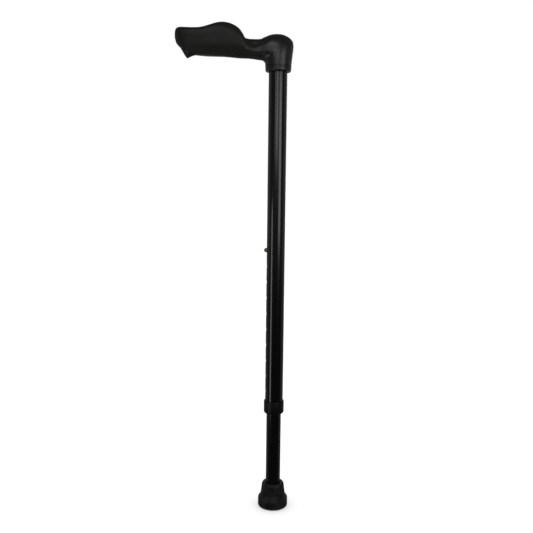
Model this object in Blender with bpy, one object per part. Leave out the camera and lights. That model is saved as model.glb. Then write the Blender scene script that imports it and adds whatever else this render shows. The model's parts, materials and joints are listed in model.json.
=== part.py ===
"""Height-adjustable walking stick with an anatomical grip.

Frame: origin at the middle of the rubber foot's flat base, +Z up the shaft,
the grip reaches from the shaft towards -X. Metres, apart from the grip's
tables of sections, which are in millimetres from the socket's mouth.
"""

import math

import bmesh
import bpy
from mathutils import Vector

# Tubes
OUTER_RADIUS = 0.0127
TUBE_WALL = 0.0012
TELESCOPE_GAP = 0.0011
OUTER_BOTTOM = 0.1468
OUTER_LENGTH = 0.5077
TUBE_SEGMENTS = 48
CLEARANCE = 0.0003
OUTER_TOP = OUTER_BOTTOM + OUTER_LENGTH
OUTER_BORE = OUTER_RADIUS - TUBE_WALL
INNER_RADIUS = OUTER_BORE - TELESCOPE_GAP
INNER_BORE = INNER_RADIUS - TUBE_WALL

# Locking collar and the split sleeve inside it, on the outer tube's lower end
SLEEVE_GAP = 0.00015
SLEEVE_WALL = 0.0005
SLEEVE_SLOTS = 6
SLOT_WIDTH = 0.0012
SLOT_ABOVE_STEP = 0.004
FINGER_TAPER = 0.0011
FINGER_TAPER_HEIGHT = 0.0022
COLLAR_GAP = 0.00025
COLLAR_WALL = 0.0007
COLLAR_DROP = 0.0066
COLLAR_HEIGHT = 0.0190
COLLAR_LIP = 0.0020
COLLAR_EDGE = 0.0030
COLLAR_CHAMFER = 0.0010
COLLAR_FLOOR = 0.0010
COLLAR_CONE = 0.0014
COLLAR_CONE_HEIGHT = 0.0026
SLEEVE_RADIUS = OUTER_RADIUS + SLEEVE_GAP + SLEEVE_WALL
COLLAR_RADIUS = SLEEVE_RADIUS + COLLAR_GAP + COLLAR_WALL
COLLAR_BOTTOM = OUTER_BOTTOM - COLLAR_DROP
COLLAR_TOP = COLLAR_BOTTOM + COLLAR_HEIGHT
SLEEVE_TOP = COLLAR_TOP - COLLAR_LIP

# Height adjustment: the button is in the top hole, the shortest setting
HOLE_COUNT = 10
HOLE_PITCH = 0.02266
HOLE_ABOVE_COLLAR = 0.01236
HOLE_SEGMENTS = 16
BUTTON_RADIUS = 0.00305
BUTTON_PROUD = 0.0038
BUTTON_SEGMENTS = 24
FLANGE_RADIUS = 0.0040
FLANGE_THICKNESS = 0.0008
TOP_HOLE_Z = COLLAR_TOP + HOLE_ABOVE_COLLAR + (HOLE_COUNT - 1) * HOLE_PITCH

# Guide plug in the top of the inner tube
INNER_ABOVE_BUTTON = 0.014
PLUG_FLANGE = 0.003
PLUG_SPIGOT = 0.008
PLUG_BORE_RADIUS = 0.0062
INNER_TOP = TOP_HOLE_Z + INNER_ABOVE_BUTTON

# Spring clip behind the button
SPRING_THICKNESS = 0.0005
SPRING_HALF_WIDTH = 0.0034
SPRING_LENGTH = 0.030
SPRING_BEND = 0.0022
SPRING_FLAT = 0.0055
SPRING_HOOK = 0.0010
SPRING_END_GAP = 0.0012

# Rubber foot and the steel washer that the inner tube stands on
FOOT_RADIUS = 0.0214
FOOT_TOP = 0.0362
FOOT_FLOOR = 0.0070
WASHER_THICKNESS = 0.0010
WASHER_RADIUS = 0.0100
TREAD_GROOVES = (0.0075, 0.0130)
TREAD_WIDTH = 0.0030
TREAD_DEPTH = 0.0022
TREAD_DRAFT = 0.0005
INNER_BOTTOM = FOOT_FLOOR + CLEARANCE + WASHER_THICKNESS + CLEARANCE
# The foot's lip: how far inside FOOT_RADIUS, and height
FOOT_LIP = ((0.0020, 0.0), (0.0007, 0.0006), (0.0, 0.0022), (0.0, 0.0122), (0.0004, 0.0135),
            (0.0012, 0.0146), (0.0025, 0.0155), (0.0033, 0.0166), (0.0037, 0.0185))
# The foot's neck: wall outside its bore, and depth below FOOT_TOP
FOOT_NECK = ((0.0065, 0.0137), (0.0059, 0.0090), (0.0054, 0.0044), (0.0051, 0.0029),
             (0.0045, 0.0014), (0.0035, 0.0004), (0.0023, 0.0), (0.0011, 0.0002), (0.0, 0.0011))

# Grip: the socket that takes the outer tube
SOCKET_DEPTH = 0.0367
BORE_CLEARANCE = 0.0002
SOCKET_MOUTH_Z = OUTER_TOP - SOCKET_DEPTH
MM = 0.001

# Grip: sections across the pad and neck, in mm. Each row is x, lowest height,
# highest height, half width on the finger side (-Y), half width on the heel side
# (+Y), squareness, fall of the top towards the heel side, dish of the top, hollow
# of the finger side (share of its width), height of the finger stop, and lean of
# the section (its top goes this far towards -X and its bottom towards +X).
PAD_SECTIONS = (
    (-138.8, 40.7, 50.8, 8.0, 9.0, 2.2, 0.0, 0.0, 0.00, 0.0, 0.0),
    (-137.8, 37.0, 54.2, 13.0, 14.5, 2.4, 0.2, 0.0, 0.00, 0.0, 0.0),
    (-135.3, 33.7, 56.3, 17.0, 19.5, 2.6, 0.6, 0.1, 0.00, 0.5, 0.0),
    (-131.6, 31.1, 57.2, 20.0, 24.0, 2.8, 1.2, 0.4, 0.01, 1.8, 0.0),
    (-127.0, 27.8, 57.3, 22.0, 27.0, 3.0, 2.0, 0.8, 0.03, 6.2, 0.0),
    (-122.5, 25.4, 57.3, 23.2, 29.0, 3.1, 2.6, 1.1, 0.05, 9.8, 0.0),
    (-118.0, 23.6, 57.3, 23.9, 30.2, 3.2, 3.0, 1.4, 0.06, 6.1, 0.0),
    (-112.0, 22.3, 57.5, 24.4, 31.0, 3.2, 3.3, 1.7, 0.07, 2.2, 0.0),
    (-104.0, 21.5, 58.1, 24.8, 31.4, 3.2, 3.4, 1.8, 0.07, 0.3, 0.0),
    (-96.0, 20.9, 60.0, 25.0, 31.2, 3.2, 3.2, 1.6, 0.07, 0.0, 0.0),
    (-88.0, 20.6, 62.4, 25.0, 30.6, 3.1, 2.8, 1.2, 0.07, 0.0, 0.0),
    (-80.5, 20.4, 64.2, 24.8, 29.6, 3.0, 2.2, 0.7, 0.07, 0.0, 0.0),
    (-73.0, 20.1, 64.4, 24.3, 28.2, 2.9, 1.6, 0.3, 0.07, 0.0, 0.0),
    (-65.0, 19.4, 62.7, 23.3, 26.2, 2.8, 1.2, 0.0, 0.06, 0.0, 0.0),
    (-57.0, 18.5, 59.5, 22.0, 23.8, 2.7, 0.9, 0.0, 0.05, 0.0, 0.5),
    (-51.0, 18.0, 55.4, 20.8, 21.8, 2.6, 0.6, 0.0, 0.04, 0.0, 1.1),
    (-45.8, 17.8, 49.4, 19.0, 19.6, 2.5, 0.4, 0.0, 0.03, 0.0, 2.0),
    (-42.6, 17.7, 45.0, 17.0, 17.8, 2.4, 0.2, 0.0, 0.02, 0.0, 2.7),
    (-40.0, 17.5, 43.7, 15.4, 16.6, 2.6, 0.1, 0.0, 0.00, 0.0, 3.0),
    (-35.8, 17.2, 43.1, 14.4, 15.2, 2.7, 0.0, 0.0, 0.00, 0.0, 2.4),
    (-30.5, 16.5, 42.8, 14.1, 14.5, 2.7, 0.0, 0.0, 0.00, 0.0, 1.2),
)
# The nose closes the pad's end: its x and height in mm, and the share of the
# first section that its flat end keeps.
NOSE = (-139.7, 45.2)
NOSE_SHARE = 0.62
FINGER_STOP_Y = -8.0
FINGER_STOP_SPREAD = 11.0
# The pad's sides draw in towards its underside by this share of their width. They keep
# their width at this share of the half height, and lose the draft between these two x.
SIDE_DRAFT = 0.30
DRAFT_LEVEL = 0.6
DRAFT_FADE = (-35.0, -47.0)

# Grip: valley stepped into the neck's -Y side, in mm: its lower edge (x and height), its
# depth, its reach above and below that edge, how far from the middle plane it has its
# full depth, and how far from each end of the edge.
VALLEY_EDGE = ((-46.0, 41.5), (-42.0, 39.4), (-37.0, 36.4), (-32.0, 34.6), (-27.5, 35.6),
               (-21.0, 38.4), (-10.0, 42.0))
VALLEY_DEPTH = 3.8
VALLEY_ABOVE = 9.0
VALLEY_BELOW = 3.4
VALLEY_FULL_Y = 7.0
VALLEY_ENDS = (8.0, 18.0)

# Grip: the elbow turns about a pivot under the neck. Each row is the turn in
# degrees, then the inner radius, outer radius and half width in mm. Its squareness
# goes from the neck's to a round section at this turn.
ELBOW_PIVOT = (-24.0, 11.2)
NECK_SQUARENESS = PAD_SECTIONS[-1][5]
ROUND_TURN = 60.0
ELBOW_SECTIONS = (
    (0.0, 4.7, 32.0, 14.4),
    (6.0, 4.6, 33.8, 14.8),
    (12.0, 4.6, 36.0, 15.3),
    (18.0, 4.7, 38.8, 15.9),
    (24.0, 4.7, 41.6, 16.5),
    (30.4, 4.8, 44.5, 17.0),
    (36.5, 4.8, 47.3, 17.4),
    (42.5, 4.9, 49.5, 17.7),
    (48.9, 5.0, 51.3, 18.0),
    (54.5, 5.1, 51.9, 18.1),
    (60.1, 5.2, 51.1, 18.2),
    (66.5, 5.4, 48.3, 18.2),
    (73.5, 5.7, 45.5, 18.1),
    (81.5, 6.0, 43.4, 18.0),
)

# Grip: upright socket below the elbow, in mm: height and wall outside the tube,
# then its two fine grooves.
SOCKET_X = 0.2
SOCKET_SECTIONS = ((11.2, 5.30), (9.7, 5.20), (4.2, 4.95), (2.1, 4.80), (1.1, 4.50), (0.4, 3.90), (0.0, 3.00))
RING_GROOVES = (8.2, 5.6)
GROOVE_WIDTH = 0.8
GROOVE_DEPTH = 0.4
GRIP_SEGMENTS = 48
PAD_STEPS = 2

BLACK_ALUMINIUM = ("black_aluminium", (0.012, 0.012, 0.013), 0.85, 0.28)
SOFT_GRIP = ("soft_grip", (0.018, 0.018, 0.018), 0.0, 0.55)
BLACK_PLASTIC = ("black_plastic", (0.016, 0.016, 0.016), 0.0, 0.45)
RUBBER = ("rubber", (0.022, 0.022, 0.021), 0.0, 0.75)
BRASS = ("brass", (0.62, 0.42, 0.16), 1.0, 0.25)
STEEL = ("steel", (0.55, 0.55, 0.56), 1.0, 0.30)


def clear_scene():
    for obj in list(bpy.data.objects):
        bpy.data.objects.remove(obj, do_unlink=True)


def material(look):
    name, colour, metallic, roughness = look
    found = bpy.data.materials.get(name)
    if found:
        return found
    made = bpy.data.materials.new(name)
    made.use_nodes = True
    shader = made.node_tree.nodes["Principled BSDF"]
    shader.inputs["Base Color"].default_value = (*colour, 1.0)
    shader.inputs["Metallic"].default_value = metallic
    shader.inputs["Roughness"].default_value = roughness
    made.diffuse_color = (*colour, 1.0)
    return made


def add_object(name, points, faces, look=None):
    """A mesh object with its faces turned outwards."""
    mesh = bpy.data.meshes.new(name)
    mesh.from_pydata(points, [], faces)
    shape = bmesh.new()
    shape.from_mesh(mesh)
    bmesh.ops.recalc_face_normals(shape, faces=shape.faces)
    shape.to_mesh(mesh)
    shape.free()
    obj = bpy.data.objects.new(name, mesh)
    bpy.context.scene.collection.objects.link(obj)
    if look:
        mesh.materials.append(material(look))
        mesh.shade_smooth()
        mesh.set_sharp_from_angle(angle=math.radians(35))
    return obj


def skin(rings):
    """Points and faces of a skin over rings of equal length, closed by a face at each end."""
    count = len(rings[0])
    points = [point for ring in rings for point in ring]
    faces = []
    for row in range(len(rings) - 1):
        for i in range(count):
            j = (i + 1) % count
            low, high = row * count, (row + 1) * count
            faces.append((low + i, low + j, high + j, high + i))
    faces.append(tuple(reversed(range(count))))
    faces.append(tuple(range(len(points) - count, len(points))))
    return points, faces


def turned(profile, segments=TUBE_SEGMENTS, along_x=False):
    """Points and faces of a closed profile of (radius, height) turned about Z or X.

    A profile that touches the axis starts and ends on it.
    """
    points, rows = [], []
    for radius, height in profile:
        if radius == 0:
            rows.append([len(points)] * segments)
            points.append((0, 0, height))
            continue
        rows.append(list(range(len(points), len(points) + segments)))
        for i in range(segments):
            turn = 2 * math.pi * i / segments
            points.append((radius * math.cos(turn), radius * math.sin(turn), height))
    pairs = list(zip(rows, rows[1:]))
    if profile[0][0] != 0:
        pairs.append((rows[-1], rows[0]))
    faces = []
    for low, high in pairs:
        for i in range(segments):
            j = (i + 1) % segments
            corners = []
            for index in (low[i], low[j], high[j], high[i]):
                if index not in corners:
                    corners.append(index)
            if len(corners) > 2:
                faces.append(tuple(corners))
    if along_x:
        points = [(height, x, y) for x, y, height in points]
    return points, faces


def cut(target, points, faces, name):
    """Cuts a closed shape out of the target with a live Boolean."""
    cutter = add_object(name, points, faces)
    cutter.hide_render = True
    cutter.display_type = "WIRE"
    modifier = target.modifiers.new(name, "BOOLEAN")
    modifier.operation = "DIFFERENCE"
    modifier.solver = "EXACT"
    modifier.object = cutter


def merged(shapes):
    points, faces = [], []
    for more_points, more_faces in shapes:
        base = len(points)
        points += more_points
        faces += [tuple(base + i for i in face) for face in more_faces]
    return points, faces


def chord(radius, half_width):
    """Distance from the axis to a flat of this half width that touches a bore of this radius."""
    return math.sqrt(radius * radius - half_width * half_width)


def cross_holes(radius, heights):
    """Round holes from the axis out towards -X, one at each height."""
    reach = 2 * OUTER_RADIUS
    shapes = []
    for z in heights:
        rod, faces = turned([(0, -reach), (radius, -reach), (radius, 0), (0, 0)], HOLE_SEGMENTS, True)
        shapes.append(([(x, y, height + z) for x, y, height in rod], faces))
    return merged(shapes)


def hole_heights():
    return [TOP_HOLE_Z - step * HOLE_PITCH for step in range(HOLE_COUNT)]


def smooth_rows(rows, steps):
    """Rows of numbers with more put between by Catmull-Rom interpolation."""
    dense = []
    for i in range(len(rows) - 1):
        before, start = rows[max(i - 1, 0)], rows[i]
        end, after = rows[i + 1], rows[min(i + 2, len(rows) - 1)]
        for step in range(steps):
            t = step / steps
            dense.append(tuple(
                b + 0.5 * t * (c - a + t * (2 * a - 5 * b + 4 * c - d + t * (3 * (b - c) + d - a)))
                for a, b, c, d in zip(before, start, end, after)
            ))
    dense.append(rows[-1])
    return dense


def eased(value, power):
    """One superellipse coordinate of a sine or cosine."""
    return math.copysign(abs(value) ** (2 / power), value)


def turns(count):
    return [2 * math.pi * i / count for i in range(count)]


def grip_point(x, y, height):
    """A point of the grip's tables, in metres."""
    return x * MM, y * MM, SOCKET_MOUTH_Z + height * MM


def pad_ring(row):
    """One upright ring across the pad or neck."""
    x, low, high, near, far, square, fall, dish, hollow, stop, lean = row
    middle, half = (low + high) / 2, (high - low) / 2
    fade_start, fade_end = DRAFT_FADE
    draft = SIDE_DRAFT * min(1, max(0, (x - fade_start) / (fade_end - fade_start)))
    ring = []
    for turn in turns(GRIP_SEGMENTS):
        across, up = eased(math.sin(turn), square), eased(math.cos(turn), square)
        y = across * (near if across < 0 else far) * (1 - draft * (DRAFT_LEVEL - up) / 2)
        if across < 0:
            y *= 1 - hollow * (1 - up * up)
        height = middle + half * up
        if up > 0:
            height -= up * (fall * (y + near) / (near + far) + dish * (1 - across * across))
        else:
            spread = (y - FINGER_STOP_Y) / FINGER_STOP_SPREAD
            height -= stop * -up * math.exp(-spread * spread)
        ring.append(grip_point(x - lean * up, y, height))
    return ring


def nose_ring(first):
    """The flat end of the pad, drawn in towards its middle from the first section."""
    middle = Vector(grip_point(NOSE[0], 0, NOSE[1]))
    ring = [middle.lerp(Vector(point), NOSE_SHARE) for point in first]
    return [(middle.x + (point.x - middle.x) * NOSE_SHARE, point.y, point.z) for point in ring]


def elbow_ring(row):
    """One ring of the elbow, turned about the pivot."""
    degrees, inner, outer, half_width = row
    lean = math.radians(degrees)
    middle, half = (inner + outer) / 2, (outer - inner) / 2
    square = NECK_SQUARENESS + (2 - NECK_SQUARENESS) * min(1, degrees / ROUND_TURN)
    ring = []
    for turn in turns(GRIP_SEGMENTS):
        reach = middle + half * eased(math.cos(turn), square)
        x = ELBOW_PIVOT[0] + reach * math.sin(lean)
        height = ELBOW_PIVOT[1] + reach * math.cos(lean)
        ring.append(grip_point(x, half_width * eased(math.sin(turn), square), height))
    return ring


def valley(point):
    """The point pressed in from the -Y side where the neck's valley passes."""
    x, y, height = point[0] / MM, point[1] / MM, (point[2] - SOCKET_MOUTH_Z) / MM
    (left, _), (right, _) = VALLEY_EDGE[0], VALLEY_EDGE[-1]
    if y >= 0 or not left < x < right:
        return point
    for (start, low), (end, high) in zip(VALLEY_EDGE, VALLEY_EDGE[1:]):
        if start <= x <= end:
            above = height - low - (high - low) * (x - start) / (end - start)
    reach = VALLEY_ABOVE if above > 0 else VALLEY_BELOW
    ends = min(1, (x - left) / VALLEY_ENDS[0], (right - x) / VALLEY_ENDS[1])
    press = VALLEY_DEPTH * math.exp(-(above / reach) ** 2) * min(1, -y / VALLEY_FULL_Y) * ends
    return point[0], point[1] + press * MM, point[2]


def socket_ring(height, wall):
    radius = OUTER_RADIUS / MM + wall
    return [
        grip_point(SOCKET_X + radius * math.cos(turn), radius * math.sin(turn), height)
        for turn in turns(GRIP_SEGMENTS)
    ]


def wall_at(height):
    """The socket's wall between its sections."""
    for (high, thick), (low, thin) in zip(SOCKET_SECTIONS, SOCKET_SECTIONS[1:]):
        if low <= height <= high:
            return thin + (thick - thin) * (height - low) / (high - low)
    raise ValueError("the groove lies outside the socket")


def socket_rows():
    """The socket's rings from the elbow down, with its two fine grooves."""
    rows = list(SOCKET_SECTIONS)
    for middle in RING_GROOVES:
        wall, half = wall_at(middle), GROOVE_WIDTH / 2
        rows += [(middle + half, wall), (middle + half / 2, wall - GROOVE_DEPTH),
                 (middle - half / 2, wall - GROOVE_DEPTH), (middle - half, wall)]
    return sorted(rows, reverse=True)


def grip():
    """The moulded grip: pad, neck, elbow and socket in one skin, bored for the outer tube."""
    rings = [pad_ring(row) for row in smooth_rows(PAD_SECTIONS, PAD_STEPS)]
    rings.insert(0, nose_ring(rings[0]))
    rings += [elbow_ring(row) for row in ELBOW_SECTIONS]
    rings = [[valley(point) for point in ring] for ring in rings]
    rings += [socket_ring(*row) for row in socket_rows()]
    obj = add_object("handle", *skin(rings), SOFT_GRIP)
    bore = OUTER_RADIUS + BORE_CLEARANCE
    top, below = OUTER_TOP + CLEARANCE, SOCKET_MOUTH_Z - SOCKET_DEPTH
    cut(obj, *turned([(0, below), (bore, below), (bore, top), (0, top)]), "handle_bore")
    return obj


def outer_tube():
    profile = [(OUTER_BORE, OUTER_BOTTOM), (OUTER_RADIUS, OUTER_BOTTOM),
               (OUTER_RADIUS, OUTER_TOP), (OUTER_BORE, OUTER_TOP)]
    obj = add_object("outer_tube", *turned(profile), BLACK_ALUMINIUM)
    cut(obj, *cross_holes(BUTTON_RADIUS + CLEARANCE, hole_heights()), "height_holes")
    return obj


def inner_tube():
    profile = [(INNER_BORE, INNER_BOTTOM), (INNER_RADIUS, INNER_BOTTOM),
               (INNER_RADIUS, INNER_TOP), (INNER_BORE, INNER_TOP)]
    obj = add_object("inner_tube", *turned(profile), BLACK_ALUMINIUM)
    cut(obj, *cross_holes(BUTTON_RADIUS + CLEARANCE / 2, [TOP_HOLE_Z]), "button_hole")
    return obj


def guide_plug():
    """Plug with a flange that runs in the outer tube, on a spigot in the inner tube."""
    seat = INNER_TOP + CLEARANCE
    spigot = INNER_BORE - CLEARANCE
    flange = OUTER_BORE - CLEARANCE
    profile = [(PLUG_BORE_RADIUS, INNER_TOP - PLUG_SPIGOT), (spigot, INNER_TOP - PLUG_SPIGOT),
               (spigot, seat), (flange, seat), (flange, seat + PLUG_FLANGE),
               (PLUG_BORE_RADIUS, seat + PLUG_FLANGE)]
    return add_object("guide_plug", *turned(profile), BLACK_PLASTIC)


def flange_face():
    """How far from the axis the button's flange stops against the inner tube's bore."""
    return chord(INNER_BORE, FLANGE_RADIUS) - CLEARANCE


def snap_button():
    """Button with a domed end, and a flange that keeps it in the inner tube."""
    face, tip = flange_face(), OUTER_RADIUS + BUTTON_PROUD
    back = face - FLANGE_THICKNESS
    profile = [(0, -back), (FLANGE_RADIUS, -back), (FLANGE_RADIUS, -face), (BUTTON_RADIUS, -face)]
    steps = 8
    for step in range(steps + 1):
        turn = math.radians(90 * step / steps)
        radius = BUTTON_RADIUS * math.cos(turn) if step < steps else 0
        profile.append((radius, -tip + BUTTON_RADIUS - BUTTON_RADIUS * math.sin(turn)))
    points, faces = turned(profile, BUTTON_SEGMENTS, True)
    points = [(x, y, z + TOP_HOLE_Z) for x, y, z in points]
    return add_object("snap_button", points, faces, BRASS)


def spring_path():
    """Middle line of the spring clip in X and Z, from behind the button round the bend and up."""
    front = -flange_face() + FLANGE_THICKNESS + CLEARANCE + SPRING_THICKNESS / 2
    back = chord(INNER_BORE, SPRING_HALF_WIDTH) - CLEARANCE - SPRING_THICKNESS / 2
    top = INNER_ABOVE_BUTTON - PLUG_SPIGOT - SPRING_END_GAP
    path = [(front, top), (front, -SPRING_FLAT)]
    for step in range(9):
        turn = math.radians(180 * step / 8)
        path.append((-SPRING_BEND * math.cos(turn), -SPRING_LENGTH - SPRING_BEND * math.sin(turn)))
    path += [(back, -SPRING_FLAT), (back, top - 2 * SPRING_HOOK), (back - SPRING_HOOK, top)]
    return [Vector((x, z + TOP_HOLE_Z)) for x, z in path]


def button_spring():
    path = spring_path()
    rings = []
    for i, point in enumerate(path):
        before = (point - path[i - 1]).normalized() if i else None
        after = (path[i + 1] - point).normalized() if i + 1 < len(path) else None
        along = ((before or after) + (after or before)).normalized()
        side = Vector((-along.y, along.x)) * (SPRING_THICKNESS / 2)
        side /= max(0.5, along.dot(after or before))
        left, right = point + side, point - side
        rings.append([(left.x, -SPRING_HALF_WIDTH, left.y), (left.x, SPRING_HALF_WIDTH, left.y),
                      (right.x, SPRING_HALF_WIDTH, right.y), (right.x, -SPRING_HALF_WIDTH, right.y)])
    return add_object("button_spring", *skin(rings), STEEL)


def split_sleeve():
    """Sleeve on the outer tube's end whose fingers grip the inner tube."""
    skirt = OUTER_RADIUS + SLEEVE_GAP
    step = OUTER_BOTTOM - CLEARANCE
    grip_radius = INNER_RADIUS + CLEARANCE
    low = COLLAR_BOTTOM + COLLAR_FLOOR + CLEARANCE
    profile = [(grip_radius, low), (SLEEVE_RADIUS - FINGER_TAPER, low),
               (SLEEVE_RADIUS, low + FINGER_TAPER_HEIGHT), (SLEEVE_RADIUS, SLEEVE_TOP),
               (skirt, SLEEVE_TOP), (skirt, step), (grip_radius, step)]
    obj = add_object("split_sleeve", *turned(profile), BLACK_PLASTIC)
    slots = []
    for i in range(SLEEVE_SLOTS):
        turn = math.pi * (2 * i + 1) / SLEEVE_SLOTS
        slots.append(slot_box(turn, low - SLOT_ABOVE_STEP / 2, step + SLOT_ABOVE_STEP))
    cut(obj, *merged(slots), "sleeve_slots")
    return obj


def slot_box(turn, low, high):
    """A thin box at this turn that passes through the sleeve's wall."""
    along = Vector((math.cos(turn), math.sin(turn), 0))
    side = Vector((-along.y, along.x, 0)) * (SLOT_WIDTH / 2)
    start, end = INNER_BORE, 2 * OUTER_RADIUS
    points = []
    for z in (low, high):
        for reach, sign in ((start, -1), (end, -1), (end, 1), (start, 1)):
            points.append(tuple(along * reach + side * sign + Vector((0, 0, z))))
    faces = [(0, 1, 2, 3), (4, 7, 6, 5), (0, 4, 5, 1), (1, 5, 6, 2), (2, 6, 7, 3), (3, 7, 4, 0)]
    return points, faces


def locking_collar():
    """Nut with a chamfered top edge, a rounded bottom edge and a cone that squeezes the sleeve."""
    inside = COLLAR_RADIUS - COLLAR_WALL
    lip = INNER_RADIUS + 2 * CLEARANCE
    opening = OUTER_RADIUS + CLEARANCE
    floor = COLLAR_BOTTOM + COLLAR_FLOOR
    profile = [(lip, COLLAR_BOTTOM)]
    steps = 4
    for step in range(steps + 1):
        turn = math.radians(90 * step / steps)
        profile.append((COLLAR_RADIUS - COLLAR_EDGE * (1 - math.sin(turn)),
                        COLLAR_BOTTOM + COLLAR_EDGE * (1 - math.cos(turn))))
    profile += [(COLLAR_RADIUS, COLLAR_TOP - COLLAR_CHAMFER), (COLLAR_RADIUS - COLLAR_CHAMFER, COLLAR_TOP),
                (opening, COLLAR_TOP), (opening, SLEEVE_TOP + CLEARANCE + COLLAR_WALL / 2),
                (inside, SLEEVE_TOP + CLEARANCE), (inside, floor + COLLAR_CONE_HEIGHT),
                (inside - COLLAR_CONE, floor), (lip, floor)]
    return add_object("locking_collar", *turned(profile), BLACK_PLASTIC)


def foot_profile():
    """Outline of the rubber foot from its middle out, up the outside, and down its bore."""
    bore = INNER_RADIUS + CLEARANCE
    outline = [(0, 0)]
    for radius in TREAD_GROOVES:
        outline += [(radius, 0), (radius + TREAD_DRAFT, TREAD_DEPTH),
                    (radius + TREAD_WIDTH - TREAD_DRAFT, TREAD_DEPTH), (radius + TREAD_WIDTH, 0)]
    outline += [(FOOT_RADIUS - inside, height) for inside, height in FOOT_LIP]
    outline += [(bore + wall, FOOT_TOP - depth) for wall, depth in FOOT_NECK]
    return outline + [(bore, FOOT_FLOOR), (0, FOOT_FLOOR)]


def rubber_foot():
    return add_object("rubber_foot", *turned(foot_profile()), RUBBER)


def foot_washer():
    low = FOOT_FLOOR + CLEARANCE
    high = low + WASHER_THICKNESS
    profile = [(0, low), (WASHER_RADIUS, low), (WASHER_RADIUS, high), (0, high)]
    return add_object("foot_washer", *turned(profile), STEEL)


def main():
    clear_scene()
    grip()
    outer_tube()
    split_sleeve()
    locking_collar()
    inner_tube()
    guide_plug()
    snap_button()
    button_spring()
    rubber_foot()
    foot_washer()


main()
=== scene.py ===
"""Walking stick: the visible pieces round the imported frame, their finishes, the stage and the camera.

Metres, +Z up the shaft, the grip reaches towards -X and the photographed side faces -Y.
"""

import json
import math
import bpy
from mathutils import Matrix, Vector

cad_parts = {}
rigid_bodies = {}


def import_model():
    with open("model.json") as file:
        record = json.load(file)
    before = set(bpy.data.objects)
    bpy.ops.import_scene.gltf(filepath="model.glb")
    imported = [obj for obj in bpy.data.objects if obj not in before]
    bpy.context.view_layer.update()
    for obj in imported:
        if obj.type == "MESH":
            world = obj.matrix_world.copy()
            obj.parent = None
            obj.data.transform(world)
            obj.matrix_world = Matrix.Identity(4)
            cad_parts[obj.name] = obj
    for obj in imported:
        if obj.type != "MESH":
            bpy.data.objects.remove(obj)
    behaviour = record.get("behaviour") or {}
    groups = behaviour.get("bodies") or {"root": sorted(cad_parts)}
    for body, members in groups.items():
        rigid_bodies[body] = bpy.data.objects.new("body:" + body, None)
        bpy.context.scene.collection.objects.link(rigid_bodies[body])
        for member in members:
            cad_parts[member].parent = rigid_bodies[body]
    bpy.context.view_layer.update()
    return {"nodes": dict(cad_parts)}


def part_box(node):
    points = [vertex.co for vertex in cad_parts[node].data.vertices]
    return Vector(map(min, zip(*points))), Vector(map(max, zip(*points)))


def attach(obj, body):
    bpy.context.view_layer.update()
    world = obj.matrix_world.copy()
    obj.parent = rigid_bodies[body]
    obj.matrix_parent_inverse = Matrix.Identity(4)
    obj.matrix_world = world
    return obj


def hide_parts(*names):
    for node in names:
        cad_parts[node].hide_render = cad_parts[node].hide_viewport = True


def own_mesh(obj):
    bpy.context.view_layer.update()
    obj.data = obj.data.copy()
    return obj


bl_info = {
    "name": "Walking Stick",
    "version": (1, 0, 0),
    "blender": (4, 5, 0),
    "location": "View3D > Sidebar > Walking Stick",
    "description": "Builds a height-adjustable walking stick with an anatomical grip",
    "category": "Object",
}

import bmesh
import bpy
from bpy.props import FloatProperty, FloatVectorProperty, IntProperty, PointerProperty
from mathutils import Matrix, Vector

for leftover in list(bpy.data.objects):
    bpy.data.objects.remove(leftover, do_unlink=True)
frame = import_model()

MM = 0.001
# Points closer than WELD are one point, and a radius below ON_AXIS lies on the axis
WELD = 0.000001
ON_AXIS = 1e-9
# An edge that turns by more degrees than this looks sharp
SHARP_ANGLE = 35
ROUND_SEGMENTS = 96
# Gap between two pieces of which one slides or stands in the other
CLEARANCE = 0.0003

# Sizes and places from the frame
TUBE_LOW, TUBE_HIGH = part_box("outer_tube")
LEG_LOW, LEG_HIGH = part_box("inner_tube")
COLLAR_LOW, COLLAR_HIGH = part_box("locking_collar")
BUTTON_LOW, BUTTON_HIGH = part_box("snap_button")
FOOT_LOW, FOOT_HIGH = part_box("rubber_foot")
OUTER_RADIUS = TUBE_HIGH.x
INNER_RADIUS = LEG_HIGH.x
TOP_HOLE_Z = (BUTTON_LOW.z + BUTTON_HIGH.z) / 2

# Easing of the tubes' ends, and how round their holes are
TUBE_EASE = 0.0003
HOLE_SEGMENTS = 32

# Locking collar
COLLAR_WALL = 0.0007
COLLAR_LIP = 0.0020
COLLAR_EDGE = 0.0030
COLLAR_EDGE_STEPS = 10
COLLAR_CHAMFER = 0.0010
COLLAR_SOFTENING = 0.0003
COLLAR_FLOOR = 0.0010
COLLAR_CONE = 0.0014
COLLAR_CONE_HEIGHT = 0.0026

# Snap button
BUTTON_RADIUS = 0.00305
DOME_STEPS = 16
FLANGE_THICKNESS = 0.0008

# Spring clip behind the button: the angles in degrees up to which its facets are one face,
# and from which its edges are eased
CLIP_EASE = 0.0001
CLIP_FLAT_ANGLE = 1
CLIP_EDGE_ANGLE = 60

# Rubber foot: its lip (how far inside the widest radius, height) and its neck
# (wall outside the bore, depth below the top)
FOOT_FLOOR = 0.0070
FOOT_SOFTENING = 0.0006
FOOT_SHARP_ANGLE = 45
TREAD_GROOVES = (0.0075, 0.0130)
TREAD_WIDTH = 0.0030
TREAD_DRAFT = 0.0005
FOOT_LIP = ((0.0020, 0.0), (0.0007, 0.0006), (0.0, 0.0022), (0.0, 0.0122), (0.0004, 0.0135),
            (0.0012, 0.0146), (0.0025, 0.0155), (0.0033, 0.0166), (0.0037, 0.0185))
FOOT_NECK = ((0.0065, 0.0137), (0.0059, 0.0090), (0.0054, 0.0044), (0.0051, 0.0029),
             (0.0045, 0.0014), (0.0035, 0.0004), (0.0023, 0.0), (0.0011, 0.0002), (0.0, 0.0011))

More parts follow.
